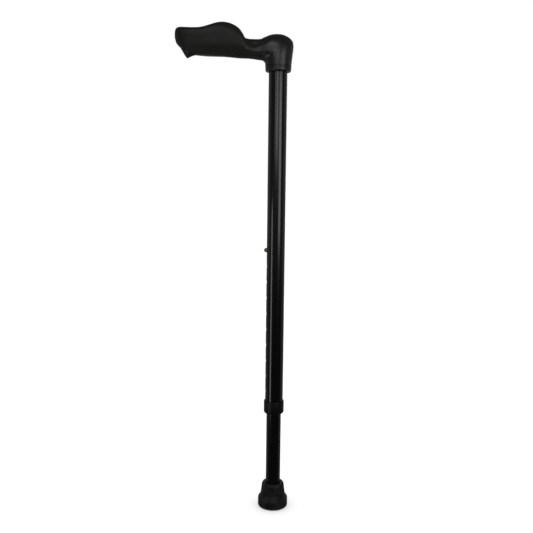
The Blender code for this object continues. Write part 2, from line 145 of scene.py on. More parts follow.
# Grip: sections across the pad and neck, in mm from the socket's mouth. Each row is x,
# lowest height, highest height, half width on the finger side (-Y), half width on the
# heel side (+Y), squareness, fall of the top towards the heel side, dish of the top,
# hollow of the finger side, height of the finger stop, and lean of the section.
SOCKET_DEPTH = 0.0367
BORE_CLEARANCE = 0.0002
SOCKET_MOUTH_Z = TUBE_HIGH.z - SOCKET_DEPTH
PAD_SECTIONS = (
    (-138.8, 40.7, 50.8, 8.0, 9.0, 2.2, 0.0, 0.0, 0.00, 0.0, 0.0),
    (-137.8, 37.0, 54.2, 13.0, 14.5, 2.4, 0.2, 0.0, 0.00, 0.0, 0.0),
    (-135.3, 33.7, 56.3, 17.0, 19.5, 2.6, 0.6, 0.1, 0.00, 0.5, 0.0),
    (-131.6, 31.1, 57.2, 20.0, 24.0, 2.8, 1.2, 0.4, 0.01, 1.8, 0.0),
    (-127.0, 27.8, 57.3, 22.0, 27.0, 3.0, 2.0, 0.8, 0.03, 6.2, 0.0),
    (-122.5, 25.4, 57.3, 23.2, 29.0, 3.1, 2.6, 1.1, 0.05, 9.8, 0.0),
    (-118.0, 23.6, 57.3, 23.9, 30.2, 3.2, 3.0, 1.4, 0.06, 6.1, 0.0),
    (-112.0, 22.3, 57.5, 24.4, 31.0, 3.2, 3.3, 1.7, 0.07, 2.2, 0.0),
    (-104.0, 21.5, 58.1, 24.8, 31.38, 3.2, 3.4, 1.8, 0.07, 0.3, 0.0),
    (-96.0, 20.9, 60.0, 24.95, 31.2, 3.2, 3.2, 1.6, 0.07, 0.0, 0.0),
    (-88.0, 20.6, 62.4, 24.95, 30.6, 3.1, 2.8, 1.2, 0.07, 0.0, 0.0),
    (-80.5, 20.4, 64.2, 24.8, 29.6, 3.0, 2.2, 0.7, 0.07, 0.0, 0.0),
    (-73.0, 20.1, 64.3, 24.3, 28.2, 2.9, 1.6, 0.3, 0.07, 0.0, 0.0),
    (-65.0, 19.4, 62.7, 23.3, 26.2, 2.8, 1.2, 0.0, 0.06, 0.0, 0.0),
    (-57.0, 18.5, 59.5, 22.0, 23.8, 2.7, 0.9, 0.0, 0.05, 0.0, 0.5),
    (-51.0, 18.0, 55.4, 20.8, 21.8, 2.6, 0.6, 0.0, 0.04, 0.0, 1.1),
    (-45.8, 17.8, 49.4, 19.0, 19.6, 2.5, 0.4, 0.0, 0.03, 0.0, 2.0),
    (-42.6, 17.7, 45.0, 17.0, 17.8, 2.4, 0.2, 0.0, 0.02, 0.0, 2.7),
    (-40.0, 17.5, 43.7, 15.4, 16.6, 2.6, 0.1, 0.0, 0.00, 0.0, 3.0),
    (-35.8, 17.2, 43.1, 14.4, 15.2, 2.7, 0.0, 0.0, 0.00, 0.0, 2.4),
    (-30.5, 16.5, 42.8, 14.1, 14.5, 2.7, 0.0, 0.0, 0.00, 0.0, 1.2),
)
NOSE = (-139.3, 45.2)
NOSE_SHARES = (0.9, 0.75, 0.55, 0.3)
FINGER_STOP_Y = -8.0
FINGER_STOP_SPREAD = 11.0
# The pad's sides draw in towards its underside by this share of their width. They keep
# their width at this share of the half height, and lose the draft between these two x.
SIDE_DRAFT = 0.30
DRAFT_LEVEL = 0.6
DRAFT_FADE = (-35.0, -47.0)
# Thumb valley pressed into the -Y side: its lower edge (x and height), its depth, how far it
# reaches above and below that edge, how far from the middle it has its full depth, and how
# far in from each end
VALLEY_EDGE = ((-46.0, 41.5), (-42.0, 39.4), (-37.0, 36.4), (-32.0, 34.6), (-27.5, 35.6),
               (-21.0, 38.4), (-10.0, 42.0))
VALLEY_DEPTH = 3.8
VALLEY_ABOVE = 9.0
VALLEY_BELOW = 3.4
VALLEY_FULL_Y = 7.0
VALLEY_ENDS = (8.0, 18.0)

# Grip: the elbow turns about a pivot under the neck. Each row is the turn in degrees, then
# the inner radius, outer radius and half width in mm. Its sections start as square as the
# neck's and are round from ROUND_TURN on.
ELBOW_PIVOT = (-24.0, 11.2)
NECK_SQUARENESS = PAD_SECTIONS[-1][5]
ROUND_TURN = 60.0
ELBOW_SECTIONS = (
    (0.0, 4.7, 32.0, 14.4), (6.0, 4.6, 33.8, 14.8), (12.0, 4.6, 36.0, 15.3), (18.0, 4.7, 38.8, 15.9),
    (24.0, 4.7, 41.6, 16.5), (30.4, 4.8, 44.5, 17.0), (36.5, 4.8, 47.3, 17.4), (42.5, 4.9, 49.5, 17.7),
    (48.9, 5.0, 51.3, 18.0), (54.5, 5.1, 51.9, 18.1), (60.1, 5.2, 51.1, 18.2), (66.5, 5.4, 48.3, 18.2),
    (73.5, 5.7, 45.5, 18.1), (81.5, 6.0, 43.4, 18.0),
)

# Grip: upright socket below the elbow, in mm: height and wall outside the tube, then its two
# fine grooves, and the chamfer of its bore
SOCKET_X = 0.2
SOCKET_SECTIONS = ((11.2, 5.30), (9.7, 5.20), (4.2, 4.95), (2.1, 4.80), (1.1, 4.50), (0.4, 3.90), (0.0, 3.00))
RING_GROOVES = (8.2, 5.6)
GROOVE_WIDTH = 0.8
BORE_CHAMFER = 0.5
SOCKET_STEP = 0.1
RING_STEPS = 5
GRIP_SEGMENTS = 144
GRIP_SHARP_ANGLE = 50

# Where along X, in metres, the matt pad ends and the satin elbow starts
PAD_END = -0.045
ELBOW_START = -0.018

# The part of a noise texture's range that holds most of its values, and a broader one
MIDDLE = (0.35, 0.65)
BROAD = (0.3, 0.7)

# Floor: how far it reaches, how far below the foot it lies, and how much it glows where seen
FLOOR_REACH = 20.0
FLOOR_GAP = 0.0002
FLOOR_GLOW = 0.3

# Dark screens that only show in reflections. Each is an outline of (radius, height) that is
# turned about the shaft, to both sides, between two angles from the camera in degrees.
SCREEN_STEPS = 32
CLOTH_START = 0.0225
CLOTH_HEIGHT = 0.001
CURTAIN_RADIUS = 2.4
CURTAIN_TOP = 1.2
CEILING_HEIGHT = 3.0
BACK_CLOTH_RADIUS = 6.0
CLOTH = ((CLOTH_START, CLOTH_HEIGHT), (CURTAIN_RADIUS, CLOTH_HEIGHT))
BACK_CLOTH = ((CLOTH_START, CLOTH_HEIGHT), (BACK_CLOTH_RADIUS, CLOTH_HEIGHT))
CURTAIN = ((CURTAIN_RADIUS, CLOTH_HEIGHT), (CURTAIN_RADIUS, CURTAIN_TOP))
CEILING = ((CURTAIN_RADIUS, CURTAIN_TOP), (CURTAIN_RADIUS, CEILING_HEIGHT), (0.0, CEILING_HEIGHT))
# Each row is the screen's name, the setting of its level, its outline and the two angles
SCREENS = (
    ("front_cloth", "cloth", CLOTH, 0, 85),
    ("side_cloth", "side_cloth", CLOTH, 85, 150),
    ("back_cloth", "back_cloth", BACK_CLOTH, 150, 180),
    ("front_curtain", "curtain", CURTAIN, 0, 85),
    ("side_curtain", "side_curtain", CURTAIN, 85, 165),
    ("ceiling", "curtain", CEILING, 0, 180),
)
# Upright strip lamps that face the shaft. Each row is the name and setting, the angle from the
# camera towards +X in degrees, the distance, the lowest and highest points, and the width.
STRIPS = (
    ("right_strip", 38.5, 1.5, 0.235, 0.84, 0.70),
    ("middle_strip", -7.5, 1.5, 0.53, 0.90, 0.50),
    ("fill_strip", 15.5, 1.6, 0.53, 0.88, 0.90),
    ("left_strip", -52, 0.40, 0.002, 0.42, 0.10),
    ("back_strip", 155, 1.5, 0.002, 1.10, 0.15),
    ("edge_strip", -28, 1.5, 0.55, 0.90, 0.24),
    ("high_strip", -13, 1.5, 1.15, 1.70, 0.90),
)

# Camera fitted to the photograph: its place in metres, its angles in degrees, its lens in mm
CAMERA_PLACE = (-0.01275, -0.9742, 0.48065)
CAMERA_PITCH = 7.5
CAMERA_ROLL = 0.650
CAMERA_LENS = 47.28
FILM_WIDTH = 36.0


class StickGripSettings(bpy.types.PropertyGroup):
    """Sizes and colours of the moulded grip."""

    colour: FloatVectorProperty(
        name="Grip Colour", description="Colour of the moulded grip",
        subtype="COLOR", size=3, min=0, max=1, default=(0.0047, 0.0046, 0.0038))
    roughness: FloatProperty(
        name="Elbow Roughness", description="How matt the satin elbow and socket are",
        subtype="FACTOR", min=0, max=1, default=0.33)
    pad_roughness: FloatProperty(
        name="Pad Roughness", description="How matt the grained pad is",
        subtype="FACTOR", min=0, max=1, default=0.42)
    grain_depth: FloatProperty(
        name="Grain Depth", description="Depth of the fine moulded grain",
        unit="LENGTH", precision=6, min=0, max=0.0005, default=0.00003)
    groove_depth: FloatProperty(
        name="Ring Groove Depth", description="Depth of the two fine grooves round the socket",
        unit="LENGTH", precision=5, min=0, max=0.002, default=0.0004)


class StickShaftSettings(bpy.types.PropertyGroup):
    """Sizes and colours of the two tubes."""

    colour: FloatVectorProperty(
        name="Tube Colour", description="Colour of the black anodised tubes",
        subtype="COLOR", size=3, min=0, max=1, default=(0.0010, 0.0010, 0.0011))
    roughness: FloatProperty(
        name="Tube Roughness", description="How matt the tubes are",
        subtype="FACTOR", min=0, max=1, default=0.16)
    wall: FloatProperty(
        name="Tube Wall", description="Wall thickness of both tubes",
        unit="LENGTH", precision=5, min=0.0005, max=0.003, default=0.0012)
    hole_radius: FloatProperty(
        name="Hole Radius", description="Radius of the height holes in the outer tube",
        unit="LENGTH", precision=5, min=0.001, max=0.006, default=BUTTON_RADIUS + CLEARANCE)
    hole_count: IntProperty(
        name="Hole Count", description="How many heights the stick can be set to",
        min=1, max=14, default=10)
    hole_pitch: FloatProperty(
        name="Hole Pitch", description="Distance between two height holes",
        unit="LENGTH", precision=5, min=0.01, max=0.05, default=0.02266)


class StickFittingSettings(bpy.types.PropertyGroup):
    """Sizes and colours of the collar, button and foot."""

    plastic_colour: FloatVectorProperty(
        name="Plastic Colour", description="Colour of the collar, sleeve and plug",
        subtype="COLOR", size=3, min=0, max=1, default=(0.0012, 0.0012, 0.0013))
    rubber_colour: FloatVectorProperty(
        name="Rubber Colour", description="Colour of the foot",
        subtype="COLOR", size=3, min=0, max=1, default=(0.0016, 0.0016, 0.0015))
    brass_colour: FloatVectorProperty(
        name="Brass Colour", description="Colour of the snap button",
        subtype="COLOR", size=3, min=0, max=1, default=(0.20, 0.15, 0.085))
    steel_colour: FloatVectorProperty(
        name="Steel Colour", description="Colour of the spring clip and the washer",
        subtype="COLOR", size=3, min=0, max=1, default=(0.52, 0.52, 0.53))
    tread_depth: FloatProperty(
        name="Tread Depth", description="Depth of the ring grooves under the foot",
        unit="LENGTH", precision=5, min=0, max=0.005, default=0.0022)


class StickStageSettings(bpy.types.PropertyGroup):
    """Colour of the floor, and brightness of the surroundings, the lamps and the dark screens."""

    floor_colour: FloatVectorProperty(
        name="Floor Colour", description="Colour of the plain floor",
        subtype="COLOR", size=3, min=0, max=1, default=(0.80, 0.80, 0.80))
    surround: FloatProperty(
        name="Surrounding Light", description="How strongly the surroundings light the stick",
        min=0, max=2, default=1.0)
    right_strip: FloatProperty(
        name="Right Strip", description="Brightness of the tall strip seen in the right of the tube",
        min=0, max=20, default=2.6)
    middle_strip: FloatProperty(
        name="Middle Strip", description="Brightness of the strip seen in the middle of the upper tube",
        min=0, max=20, default=2.2)
    left_strip: FloatProperty(
        name="Left Strip", description="Brightness of the low strip seen in the left of the tube",
        min=0, max=20, default=2.6)
    back_strip: FloatProperty(
        name="Back Strip", description="Brightness of the tall strip behind the stick",
        min=0, max=20, default=1.8)
    edge_strip: FloatProperty(
        name="Edge Strip", description="Brightness of the narrow strip left of the middle one",
        min=0, max=20, default=1.7)
    fill_strip: FloatProperty(
        name="Fill Strip", description="Brightness of the broad strip between the right and the middle one",
        min=0, max=20, default=0.9)
    high_strip: FloatProperty(
        name="High Strip", description="Brightness of the highest strip, seen in the elbow and the socket",
        min=0, max=20, default=1.9)
    curtain: FloatProperty(
        name="Curtain Level", description="How pale the dark curtain in front and the ceiling are",
        min=0, max=1, default=0.12)
    side_curtain: FloatProperty(
        name="Side Curtain Level", description="How pale the curtain beside the stick is",
        min=0, max=1, default=0.30)
    cloth: FloatProperty(
        name="Cloth Level", description="How pale the dark cloth on the floor in front of the stick is",
        min=0, max=1, default=0.04)
    side_cloth: FloatProperty(
        name="Side Cloth Level", description="How pale the cloth on the floor beside the stick is",
        min=0, max=1, default=0.20)
    back_cloth: FloatProperty(
        name="Back Cloth Level", description="How pale the cloth on the floor behind the stick is",
        min=0, max=1, default=0.10)


def linked(name, data):
    """A new object of this data in the scene, at the origin."""
    obj = bpy.data.objects.new(name, data)
    bpy.context.scene.collection.objects.link(obj)
    return obj


def shaded(obj, sharp=SHARP_ANGLE):
    """Smooth shading, but for the sharp edges."""
    obj.data.shade_smooth()
    obj.data.set_sharp_from_angle(angle=math.radians(sharp))


def piece_of(shape, name, look, sharp=SHARP_ANGLE):
    """The piece that this bmesh becomes."""
    mesh = bpy.data.meshes.new(name)
    shape.to_mesh(mesh)
    shape.free()
    mesh.materials.append(look)
    obj = linked(name, mesh)
    shaded(obj, sharp)
    return obj


def modelled(name, points, faces, look, sharp=SHARP_ANGLE):
    """A piece of these points and faces, turned to face outwards."""
    shape = bmesh.new()
    corners = [shape.verts.new(point) for point in points]
    for face in faces:
        shape.faces.new([corners[index] for index in face])
    bmesh.ops.recalc_face_normals(shape, faces=shape.faces)
    return piece_of(shape, name, look, sharp)


def placed(obj, body, node):
    """The piece rides on the body and stands for the node, which is hidden."""
    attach(obj, body)
    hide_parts(node)


def turns(count):
    """Angles evenly spread over a full turn."""
    return [2 * math.pi * i / count for i in range(count)]


def quarter_turn(steps):
    """Angles from 0 to 90 degrees, both included."""
    return [math.radians(90 * step / steps) for step in range(steps + 1)]


def skin(rings, closed=False):
    """Points and faces over rings of equal length, of which the last joins the first if closed.

    A ring of one point closes its end to that point.
    """
    count = max(len(ring) for ring in rings)
    points, rows = [], []
    for ring in rings:
        start = len(points)
        points += [tuple(point) for point in ring]
        rows.append([start] * count if len(ring) == 1 else list(range(start, len(points))))
    pairs = list(zip(rows, rows[1:]))
    if closed:
        pairs.append((rows[-1], rows[0]))
    faces = []
    for low, high in pairs:
        for i in range(count):
            j = (i + 1) % count
            faces.append(list(dict.fromkeys((low[i], low[j], high[j], high[i]))))
    return points, faces


def turned(outline, along_x=False):
    """Points and faces of an outline of (radius, height) turned about Z or X.

    An outline that touches the axis starts and ends on it. Any other is closed.
    """
    rings = [
        [(radius * math.cos(turn), radius * math.sin(turn), height) for turn in turns(ROUND_SEGMENTS)]
        if radius > ON_AXIS else [(0, 0, height)]
        for radius, height in outline
    ]
    points, faces = skin(rings, closed=outline[0][0] > ON_AXIS)
    if along_x:
        points = [(height, x, y) for x, y, height in points]
    return points, faces


def softened(outline, reach, passes=2):
    """The outline with its corners cut back by at most this reach, then by less, so that they look round."""
    for _ in range(passes):
        cut = [outline[0]]
        for before, here, after in zip(outline, outline[1:], outline[2:]):
            corner = Vector(here)
            for other in (before, after):
                side = Vector(other) - corner
                cut.append(tuple(corner + side.normalized() * min(side.length / 4, reach)))
        cut.append(outline[-1])
        outline, reach = cut, reach / 3
    return outline


def maths(tree, operation, first, second):
    """The result of a Math node. Its second value is another node's or a plain number."""
    node = tree.nodes.new("ShaderNodeMath")
    node.operation = operation
    tree.links.new(first, node.inputs[0])
    if isinstance(second, float):
        node.inputs[1].default_value = second
    else:
        tree.links.new(second, node.inputs[1])
    return node.outputs["Value"]


def cross_hole_tree():
    """A tree that drills a row of round holes through one side of a tube, the top one first."""
    tree = bpy.data.node_groups.new("Cross Holes", "GeometryNodeTree")
    tree.interface.new_socket("Geometry", in_out="OUTPUT", socket_type="NodeSocketGeometry")
    for name, kind in (("Geometry", "Geometry"), ("Hole Radius", "Float"), ("Hole Count", "Int"),
                       ("Hole Pitch", "Float"), ("Top Hole Height", "Float"), ("Drill Reach", "Float"),
                       ("Finish", "Material")):
        tree.interface.new_socket(name, in_out="INPUT", socket_type="NodeSocket" + kind)
    nodes, link = tree.nodes, tree.links.new
    given = nodes.new("NodeGroupInput").outputs
    start = nodes.new("ShaderNodeCombineXYZ")
    link(maths(tree, "MULTIPLY", given["Drill Reach"], -0.5), start.inputs["X"])
    link(given["Top Hole Height"], start.inputs["Z"])
    step = nodes.new("ShaderNodeCombineXYZ")
    link(maths(tree, "MULTIPLY", given["Hole Pitch"], -1.0), step.inputs["Z"])
    row = nodes.new("GeometryNodeMeshLine")
    row.mode = "OFFSET"
    link(given["Hole Count"], row.inputs["Count"])
    link(start.outputs["Vector"], row.inputs["Start Location"])
    link(step.outputs["Vector"], row.inputs["Offset"])
    drill = nodes.new("GeometryNodeMeshCylinder")
    drill.inputs["Vertices"].default_value = HOLE_SEGMENTS
    link(given["Hole Radius"], drill.inputs["Radius"])
    link(given["Drill Reach"], drill.inputs["Depth"])
    drills = nodes.new("GeometryNodeInstanceOnPoints")
    drills.inputs["Rotation"].default_value = (0, math.pi / 2, 0)
    link(row.outputs["Mesh"], drills.inputs["Points"])
    link(drill.outputs["Mesh"], drills.inputs["Instance"])
    solid_drills = nodes.new("GeometryNodeRealizeInstances")
    link(drills.outputs["Instances"], solid_drills.inputs["Geometry"])
    drilled = nodes.new("GeometryNodeMeshBoolean")
    drilled.operation = "DIFFERENCE"
    drilled.solver = "EXACT"
    link(given["Geometry"], drilled.inputs["Mesh 1"])
    link(solid_drills.outputs["Geometry"], drilled.inputs["Mesh 2"])
    whole = nodes.new("GeometryNodeRealizeInstances")
    link(drilled.outputs["Mesh"], whole.inputs["Geometry"])
    coated = nodes.new("GeometryNodeSetMaterial")
    link(whole.outputs["Geometry"], coated.inputs["Geometry"])
    link(given["Finish"], coated.inputs["Material"])
    link(coated.outputs["Geometry"], nodes.new("NodeGroupOutput").inputs["Geometry"])
    return tree


def made_by_nodes(obj, tree, values):
    """Runs the tree on the object, keeps the result as its mesh and takes the modifier off."""
    modifier = obj.modifiers.new(tree.name, "NODES")
    modifier.node_group = tree
    for item in tree.interface.items_tree:
        if item.name in values:
            modifier[item.identifier] = values[item.name]
    evaluated = obj.evaluated_get(bpy.context.evaluated_depsgraph_get())
    mesh = bpy.data.meshes.new_from_object(evaluated)
    obj.modifiers.remove(modifier)
    old = obj.data
    obj.data = mesh
    bpy.data.meshes.remove(old)
    mesh.name = obj.name


def principled(name, **values):
    """A material and its Principled shader, with these values in its sockets."""
    material = bpy.data.materials.new(name)
    material.use_nodes = True
    shader = material.node_tree.nodes["Principled BSDF"]
    for socket, value in values.items():
        shader.inputs[socket.replace("_", " ")].default_value = value
    return material, shader


class Finish:
    """A procedural material on Object coordinates, built round its Principled shader."""

    def __init__(self, name, **values):
        self.material, self.shader = principled(name, **values)
        self.tree = self.material.node_tree
        self.nodes, self.link = self.tree.nodes, self.tree.links.new
        self.place = self.nodes.new("ShaderNodeTexCoord").outputs["Object"]

    def stretched(self, scale, move=(0, 0, 0)):
        """The coordinates scaled along each axis, then moved."""
        mapping = self.nodes.new("ShaderNodeMapping")
        mapping.inputs["Location"].default_value = move
        mapping.inputs["Scale"].default_value = scale
        self.link(self.place, mapping.inputs["Vector"])
        return mapping.outputs["Vector"]

    def axis(self, name):
        """The coordinate along one axis."""
        parts = self.nodes.new("ShaderNodeSeparateXYZ")
        self.link(self.place, parts.inputs["Vector"])
        return parts.outputs[name]

    def noise(self, scale, detail=2.0, roughness=0.5, place=None):
        texture = self.nodes.new("ShaderNodeTexNoise")
        texture.inputs["Scale"].default_value = scale
        texture.inputs["Detail"].default_value = detail
        texture.inputs["Roughness"].default_value = roughness
        self.link(place or self.place, texture.inputs["Vector"])
        return texture.outputs["Fac"]

    def cells(self, scale):
        texture = self.nodes.new("ShaderNodeTexVoronoi")
        texture.inputs["Scale"].default_value = scale
        self.link(self.place, texture.inputs["Vector"])
        return texture.outputs["Distance"]

    def ranged(self, source, start, end, low, high):
        """The source's span from start to end, as values from low to high."""
        span = self.nodes.new("ShaderNodeMapRange")
        for socket, value in (("From Min", start), ("From Max", end), ("To Min", low), ("To Max", high)):
            span.inputs[socket].default_value = value
        self.link(source, span.inputs["Value"])
        return span.outputs["Result"]

    def sum(self, first, *others):
        for other in others:
            first = maths(self.tree, "ADD", first, other)
        return first

    def paint(self, share, first, second):
        """Blends the base colour from the first to the second by this share."""
        mix = self.nodes.new("ShaderNodeMix")
        mix.data_type = "RGBA"
        mix.inputs["A"].default_value = (*first, 1)
        mix.inputs["B"].default_value = (*second, 1)
        self.link(share, mix.inputs["Factor"])
        self.drive("Base Color", mix.outputs["Result"])

    def bump(self, height, depth, under=None):
        node = self.nodes.new("ShaderNodeBump")
        node.inputs["Distance"].default_value = depth
        self.link(height, node.inputs["Height"])
        if under:
            self.link(under, node.inputs["Normal"])
        return node.outputs["Normal"]

    def drive(self, socket, source):
        self.link(source, self.shader.inputs[socket])


def tinted(colour, share):
    """The colour made darker or lighter by this share."""
    return tuple(min(1.0, part * share) for part in colour)


def soft_grip_finish(settings):
    """Black moulding with fine grain and soft mottling: a matt pad, painted lighter than the elbow as a
    painted sheen, and a satin elbow and socket.
    """
    look = Finish("soft_grip_satin", Specular_IOR_Level=0.4)
    colour = settings.colour
    neck = (look.axis("X"), PAD_END, ELBOW_START)
    mottle = look.ranged(look.noise(38.0, detail=3.0, roughness=0.55), *MIDDLE, 0.0, 0.30)
    specks = look.ranged(look.cells(420.0), 0.0, 0.11, 0.08, 0.0)
    # Mottle and specks are random tone. The pad is painted lighter than the elbow: a painted sheen in place
    # of its soft broad reflection.
    shade = look.sum(mottle, specks, look.ranged(*neck, 0.42, 0.0))
    look.paint(shade, tinted(colour, 0.85), tinted(colour, 2.35))
    # The level of 0.4 above is for an export that can't carry this range
    look.drive("Specular IOR Level", look.ranged(*neck, 0.25, 0.54))
    satin = look.ranged(*neck, settings.pad_roughness, settings.roughness)
    haze = look.ranged(look.noise(70.0, detail=4.0), *MIDDLE, -0.05, 0.05)
    look.drive("Roughness", look.sum(satin, haze))
    grain = look.bump(look.noise(2600.0, detail=1.0), settings.grain_depth)
    look.drive("Normal", look.bump(look.noise(240.0), settings.grain_depth * 1.2, grain))
    return look.material


def drawn_black_finish(settings):
    """Black anodised tube: fine lines from drawing, faint clouding and a few light rubs along the tube."""
    look = Finish("drawn_black_aluminium", Specular_IOR_Level=0.5)
    colour = settings.colour
    lines = look.noise(1.0, place=look.stretched((2400, 2400, 9)))
    clouds = look.noise(24.0, detail=3.0, place=look.stretched((1, 1, 0.3)))
    wear = look.noise(1.0, detail=4.0, roughness=0.7, place=look.stretched((420, 420, 16), (3, 1, 2)))
    look.paint(look.ranged(clouds, *MIDDLE, 0.0, 1.0), tinted(colour, 0.85), tinted(colour, 1.2))
    satin = look.ranged(lines, *BROAD, settings.roughness - 0.03, settings.roughness + 0.03)
    haze = look.ranged(clouds, *BROAD, -0.01, 0.02)
    rubs = look.ranged(wear, 0.66, 0.78, 0.0, 0.08)
    look.drive("Roughness", look.sum(satin, haze, rubs))
    look.drive("Normal", look.bump(lines, 0.0000005))
    return look.material


def moulded_plastic_finish(settings):
    """Matt black moulded plastic with a fine spark-eroded grain."""
    look = Finish("moulded_black_plastic", Specular_IOR_Level=0.24)
    colour = settings.plastic_colour
    mottle = look.noise(160.0, detail=3.0)
    look.paint(look.ranged(mottle, *MIDDLE, 0.0, 1.0), tinted(colour, 0.85), tinted(colour, 1.3))
    look.drive("Roughness", look.ranged(mottle, *BROAD, 0.36, 0.46))
    look.drive("Normal", look.bump(look.noise(3200.0, detail=1.0), 0.00002))
    return look.material


def rubber_finish(settings):
    """Black rubber: cloudy bloom, fine pores, and a little dust low on the lip and in the tread."""
    look = Finish("foot_rubber", Specular_IOR_Level=0.18)
    colour = settings.rubber_colour
    bloom = look.noise(95.0, detail=4.0, roughness=0.6)
    pores = look.ranged(look.cells(900.0), 0.0, 0.3, 0.0, 1.0)
    low = look.ranged(look.axis("Z"), 0.0, 0.003, 0.9, 0.0)
    patches = look.ranged(look.noise(500.0, detail=4.0), 0.45, 0.75, 0.0, 1.0)
    dust = maths(look.tree, "MULTIPLY", low, patches)
    shade = look.sum(look.ranged(bloom, *MIDDLE, 0.0, 0.35), dust)
    look.paint(shade, tinted(colour, 0.85), (0.030, 0.029, 0.027))
    look.drive("Roughness", look.ranged(bloom, *BROAD, 0.42, 0.56))
    fine = look.bump(look.noise(1900.0), 0.00003)
    look.drive("Normal", look.bump(pores, 0.00001, fine))
    return look.material


def brass_finish(settings):
    """Turned brass, a little tarnished where it isn't rubbed."""
    look = Finish("turned_brass", Metallic=1.0)
    colour = settings.brass_colour
    tarnish = look.noise(700.0, detail=4.0, roughness=0.6)
    look.paint(look.ranged(tarnish, 0.4, 0.7, 0.0, 1.0), colour, tinted(colour, 0.55))
    look.drive("Roughness", look.ranged(tarnish, *BROAD, 0.18, 0.38))
    look.drive("Normal", look.bump(look.noise(1.0, place=look.stretched((9000, 500, 500))), 0.000002))
    return look.material


def zinc_steel_finish(settings):
    """Bright zinc on steel: spangled patches and fine rolling lines."""
    look = Finish("zinc_steel", Metallic=1.0)
    colour = settings.steel_colour
    look.paint(look.ranged(look.cells(260.0), 0.1, 0.8, 0.0, 1.0), tinted(colour, 1.1), tinted(colour, 0.8))
    look.drive("Roughness", look.ranged(look.noise(340.0, detail=3.0), *BROAD, 0.26, 0.42))
    look.drive("Normal", look.bump(look.noise(1.0, place=look.stretched((300, 4200, 300))), 0.000003))
    return look.material


SHARED = {}


def shared_finish(make, settings):
    """The finish that this function makes, made once and then found again."""
    if make not in SHARED:
        SHARED[make] = make(settings)
    return SHARED[make]


def grip_point(x, y, height):
    """The point at this place in mm, with its height above the socket's mouth."""
    return x * MM, y * MM, SOCKET_MOUTH_Z + height * MM


def superellipse(turn, power):
    """How far across and up a superellipse of this squareness lies in this direction."""
    across, up = math.sin(turn), math.cos(turn)
    reach = (abs(across) ** power + abs(up) ** power) ** (-1 / power)
    return across * reach, up * reach


def pad_ring(row):
    """One upright ring across the pad or neck."""
    x, low, high, near, far, square, fall, dish, hollow, stop, lean = row
    middle, half = (low + high) / 2, (high - low) / 2
    fade_start, fade_end = DRAFT_FADE
    draft = SIDE_DRAFT * min(1, max(0, (x - fade_start) / (fade_end - fade_start)))
    ring = []
    for turn in turns(GRIP_SEGMENTS):
        across, up = superellipse(turn, square)
        y = across * (near if across < 0 else far) * (1 - draft * (DRAFT_LEVEL - up) / 2)
        if across < 0:
            y *= 1 - hollow * (1 - up * up)
        height = middle + half * up
        if up > 0:
            height -= up * (fall * (y + near) / (near + far) + dish * (1 - across * across))
        else:
            spread = (y - FINGER_STOP_Y) / FINGER_STOP_SPREAD
            height -= stop * -up * math.exp(-spread * spread)
        ring.append(Vector(grip_point(x - lean * up, y, height)))
    return ring


def elbow_ring(row):
    """One ring of the elbow, turned about the pivot."""
    degrees, inner, outer, half_width = row
    lean = math.radians(degrees)
    middle, half = (inner + outer) / 2, (outer - inner) / 2
    square = NECK_SQUARENESS + (2 - NECK_SQUARENESS) * min(1, degrees / ROUND_TURN)
    ring = []
    for turn in turns(GRIP_SEGMENTS):
        across, up = superellipse(turn, square)
        reach = middle + half * up
        x = ELBOW_PIVOT[0] + reach * math.sin(lean)
        height = ELBOW_PIVOT[1] + reach * math.cos(lean)
        ring.append(Vector(grip_point(x, half_width * across, height)))
    return ring


def nose_rings(first):
    """Rings that round off the pad's end, from its middle point out to the first section."""
    tip = Vector(grip_point(NOSE[0], 0, NOSE[1]))
    rings = [[tip]]
    for share in sorted(NOSE_SHARES):
        drop = 1 - math.sqrt(1 - share ** 4)
        rings.append([
            Vector((tip.x + (point.x - tip.x) * drop, point.y * share, tip.z + (point.z - tip.z) * share))
            for point in first
        ])
    return rings


def eased(share):
    """The share from 0 to 1 with a soft start and a soft end."""
    share = min(1, max(0, share))
    return share * share * (3 - 2 * share)


def thumb_valley(point, edge):
    """The point pressed in from the -Y side where the valley above this edge passes."""
    x, y, height = point.x / MM, point.y / MM, (point.z - SOCKET_MOUTH_Z) / MM
    left, right = edge[0].x, edge[-1].x
    if y >= 0 or not left < x < right:
        return point
    for start, end in zip(edge, edge[1:]):
        if start.x <= x <= end.x:
            above = height - start.y - (end.y - start.y) * (x - start.x) / (end.x - start.x)
    reach = VALLEY_ABOVE if above > 0 else VALLEY_BELOW
    ends = eased((x - left) / VALLEY_ENDS[0]) * eased((right - x) / VALLEY_ENDS[1])
    press = VALLEY_DEPTH * math.exp(-(above / reach) ** 2) * eased(-y / VALLEY_FULL_Y) * ends
    return Vector((point.x, point.y + press * MM, point.z))


def between_rings(rings, steps):
    """The rings with more put between them, point by point, by Catmull-Rom interpolation."""
    dense = []
    for i in range(len(rings) - 1):
        before, start = ring_at(rings, i - 1), rings[i]
        end, after = rings[i + 1], ring_at(rings, i + 2)
        for step in range(steps):
            t = step / steps
            dense.append([
                b + 0.5 * t * (c - a + t * (2 * a - 5 * b + 4 * c - d + t * (3 * (b - c) + d - a)))
                for a, b, c, d in zip(before, start, end, after)
            ])
    dense.append(rings[-1])
    return dense


def ring_at(rings, index):
    """The ring at this place, or the first or last one past the ends."""
    return rings[min(max(index, 0), len(rings) - 1)]


def socket_wall(height, groove_depth):
    """The socket's wall in mm at this height, with its two rounded grooves."""
    for (high, thick), (low, thin) in zip(SOCKET_SECTIONS, SOCKET_SECTIONS[1:]):
        if low <= height <= high:
            wall = thin + (thick - thin) * (height - low) / (high - low)
            break
    for middle in RING_GROOVES:
        away = abs(height - middle) / (GROOVE_WIDTH / 2)
        if away < 1:
            wall -= groove_depth / MM * (1 + math.cos(math.pi * away)) / 2
    return wall


